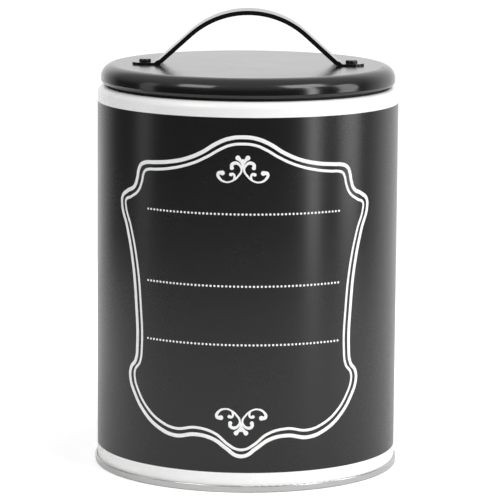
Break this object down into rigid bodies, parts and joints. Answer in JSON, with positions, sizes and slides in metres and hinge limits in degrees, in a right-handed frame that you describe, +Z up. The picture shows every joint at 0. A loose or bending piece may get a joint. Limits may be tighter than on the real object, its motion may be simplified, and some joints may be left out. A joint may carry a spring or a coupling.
{
  "type": "coffee tin",
  "caption": "Round printed canister with a curled shoulder, seamed base and a black slip lid that lifts off by a riveted strap handle.",
  "frame": {"origin": "centre of the base, on the plane that the foot seam stands on", "axes": "+Z up along the tin's axis, the printed front faces -Y, the handle runs along X"},
  "size_m": [0.1116, 0.1116, 0.1673],
  "materials": {
    "printed_tin": "satin black lithographed print on tinplate, with a white band at the shoulder and at the foot",
    "tinplate": "bare bright tinplate",
    "black_enamel": "smooth satin to gloss black enamel",
    "seal_rubber": "matt black rubber"
  },
  "bodies": {
    "tin": {"tin_body": "printed_tin", "bottom_end": "tinplate"},
    "lid": {"lid_cap": "black_enamel", "lid_plug": "tinplate", "lid_seal": "seal_rubber", "handle_strap": "black_enamel", "handle_rivets": "black_enamel"}
  },
  "joints": [
    {"name": "lid_lift", "type": "slide", "parent": "tin", "child": "lid", "axis": [0, 0, 1], "range_m": [0, 0.05]}
  ]
}
